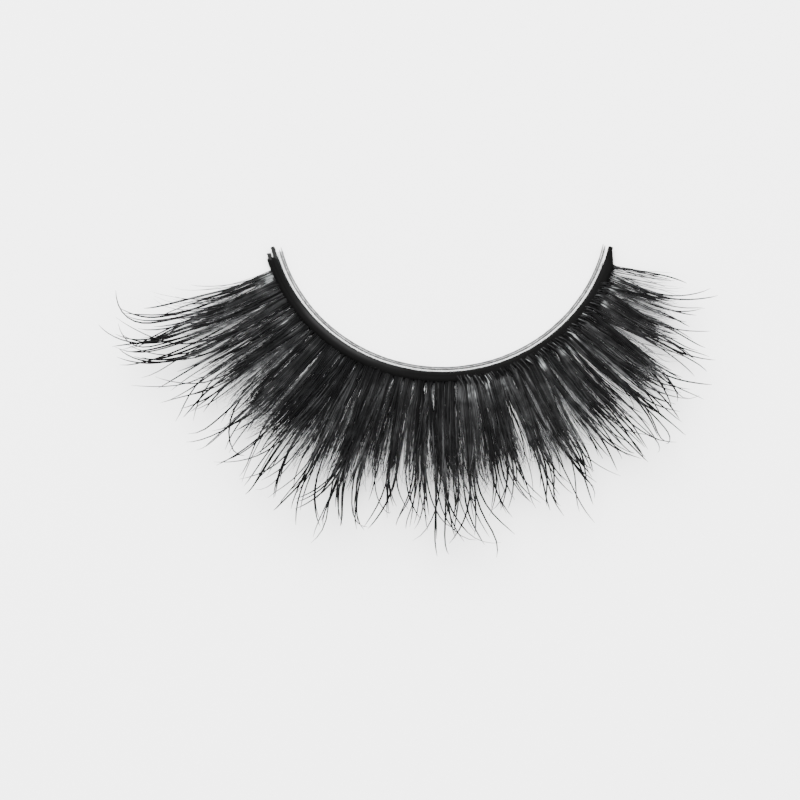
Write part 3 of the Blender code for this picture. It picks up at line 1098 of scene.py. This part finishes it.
class EYELASH_OT_lashes(bpy.types.Operator):
    """Grow both rows of lashes, the fine, stray and outer corner hairs, and the root hairs"""

    bl_idname = "eyelash.lashes"
    bl_label = "Lashes"

    def execute(self, context):
        sizes = context.scene.eyelash_sizes
        finish = context.scene.eyelash_finish
        fibre = hair_material("lash_fibre", finish.hair_dark, finish.hair_pale, finish.hair_glint)
        soft_fibre = hair_material("fine_lash_fibre", finish.hair_pale, finish.fine_gap_light, finish.hair_glint)
        tree = lash_tree()
        shape = {"Longest": sizes.longest, "Tip Slope": sizes.tip_angle, "Hair Width": sizes.hair_width}
        lower = shape | {"Hairs": sizes.long_hairs, "Seed": 1}
        keep(grow("long_lashes", tree, lower, fibre), "lash_hair", "long_lash_row")
        upper = shape | {"Hairs": sizes.short_hairs, "Seed": 2, "Row Share": sizes.short_share,
                         "Points": 12, "Shortest Share": 0.66, "Length Skew": 1.0,
                         "Tip Slope": sizes.tip_angle * 0.8, "Tuft Grip": 0.84, "Root Out": 0.10 * MM,
                         "Root Up": 0.20 * MM, "Root Pile": 0.22 * MM, "Hair Width": sizes.hair_width * 0.56}
        keep(grow("short_lashes", tree, upper, fibre), "lash_hair", "short_lash_row")
        fine = shape | {"Hairs": sizes.fine_hairs, "Seed": 8, "Row Share": 0.68, "Points": 10, "Sides": 3,
                        "Shortest Share": 0.5, "Length Skew": 0.8, "Tip Slope": sizes.tip_angle * 0.8,
                        "Hair Width": sizes.hair_width * 0.35, "Bundle Grip": 0.2, "Tuft Grip": 0.15,
                        "Wisp Grip": 0.2, "Lean": 0.3, "Streaks": 0.25, "Painted Gap Light": 0.7}
        keep(grow("fine_under_lashes", tree, fine, soft_fibre), "lash_hair")
        strays = shape | {"Hairs": sizes.stray_hairs, "Points": 20, "Seed": 4, "Slope Spread": 0.4,
                          "Hair Width": sizes.hair_width * 0.8, "Tuft Grip": 0.3, "Lean": 0.15,
                          "Bend": 0.6, "Splay": 0.5, "Hook": 2.0, "Root Out": 0.0, "Root Up": 0.2 * MM}
        keep(grow("stray_lashes", tree, strays, fibre), "lash_hair")
        corner = shape | {"Hairs": sizes.corner_hairs, "Points": 24, "Seed": 5,
                          "Longest": sizes.longest * 1.06, "Shortest Share": 0.75, "Length Skew": 0.7,
                          "To Share": 0.05, "Sweep": 0.5, "Bend": 0.4, "Splay": 0.15, "Hook": 1.0,
                          "Upturn": 2.1, "Hair Width": sizes.hair_width * 1.25}
        keep(grow("outer_corner_lashes", tree, corner, fibre), "lash_hair")
        keep(grow("root_hairs", root_hair_tree(), {"Width": sizes.hair_width * 0.48}, fibre), "lash_hair")
        return {"FINISHED"}


def look_at(camera, place_at, target):
    """Put a camera or lamp at a place, looking at a target."""
    camera.location = place_at
    camera.rotation_euler = (Vector(target) - Vector(place_at)).to_track_quat("-Z", "Y").to_euler()


class EYELASH_OT_stage(bpy.types.Operator):
    """Set the floor, the soft light and the camera"""

    bl_idname = "eyelash.stage"
    bl_label = "Stage"

    def execute(self, context):
        scene = context.scene
        bpy.ops.mesh.primitive_plane_add(size=FLOOR_WIDTH, location=(0.0, 0.0, 0.0))
        floor = context.active_object
        floor.name = "floor"
        floor.data.materials.append(floor_material())
        world = bpy.data.worlds.new("soft_room")
        world.use_nodes = True
        background = world.node_tree.nodes["Background"]
        background.inputs["Color"].default_value = (1.0, 1.0, 1.0, 1.0)
        background.inputs["Strength"].default_value = ROOM_STRENGTH
        scene.world = world
        lamp_data = bpy.data.lights.new("overhead_softbox", "AREA")
        lamp_data.shape = "DISK"
        lamp_data.size = LAMP_WIDTH
        lamp_data.energy = LAMP_POWER
        lamp = bpy.data.objects.new("overhead_softbox", lamp_data)
        scene.collection.objects.link(lamp)
        look_at(lamp, LAMP_PLACE, (0.0, 0.0, 0.0))
        camera_data = bpy.data.cameras.new("camera")
        camera_data.lens = CAMERA_LENS
        camera_data.sensor_width = SENSOR_WIDTH
        camera_data.clip_start = 0.01
        camera = bpy.data.objects.new("camera", camera_data)
        scene.collection.objects.link(camera)
        elevation = math.radians(CAMERA_ELEVATION)
        right = (PHOTO_SIZE / 2 - BAND_MIDDLE_PIXEL[0]) / PIXELS_PER_MM * MM
        down = (PHOTO_SIZE / 2 - BAND_MIDDLE_PIXEL[1]) / PIXELS_PER_MM * MM
        target = Vector((right, -down / math.sin(elevation), 0.0))
        distance = PHOTO_SIZE / PIXELS_PER_MM * MM * CAMERA_LENS / SENSOR_WIDTH
        back = Vector((0.0, -math.cos(elevation), math.sin(elevation)))
        look_at(camera, target + back * distance, target)
        scene.camera = camera
        return {"FINISHED"}


STEPS = [
    EYELASH_OT_adhesive,
    EYELASH_OT_band,
    EYELASH_OT_lashes,
    EYELASH_OT_stage,
]


class EYELASH_PT_panel(bpy.types.Panel):
    """Lists the steps that make the strip"""

    bl_idname = "EYELASH_PT_panel"
    bl_label = "False Eyelash Strip"
    bl_space_type = "VIEW_3D"
    bl_region_type = "UI"
    bl_category = "Eyelash"

    def draw(self, context):
        for group in (context.scene.eyelash_sizes, context.scene.eyelash_finish):
            for name in group.__annotations__:
                self.layout.prop(group, name)
        for step in STEPS:
            self.layout.operator(step.bl_idname)


CLASSES = [EyelashSizes, EyelashFinish, *STEPS, EYELASH_PT_panel]


def register():
    """Register the classes and hang the settings on the scene."""
    for item in CLASSES:
        bpy.utils.register_class(item)
    bpy.types.Scene.eyelash_sizes = bpy.props.PointerProperty(type=EyelashSizes)
    bpy.types.Scene.eyelash_finish = bpy.props.PointerProperty(type=EyelashFinish)


def unregister():
    """Take the settings off the scene and unregister the classes."""
    del bpy.types.Scene.eyelash_finish
    del bpy.types.Scene.eyelash_sizes
    for item in reversed(CLASSES):
        bpy.utils.unregister_class(item)


def main():
    """Register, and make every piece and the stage."""
    register()
    bpy.ops.eyelash.adhesive()
    bpy.ops.eyelash.band()
    bpy.ops.eyelash.lashes()
    bpy.ops.eyelash.stage()


if __name__ == "__main__":
    main()
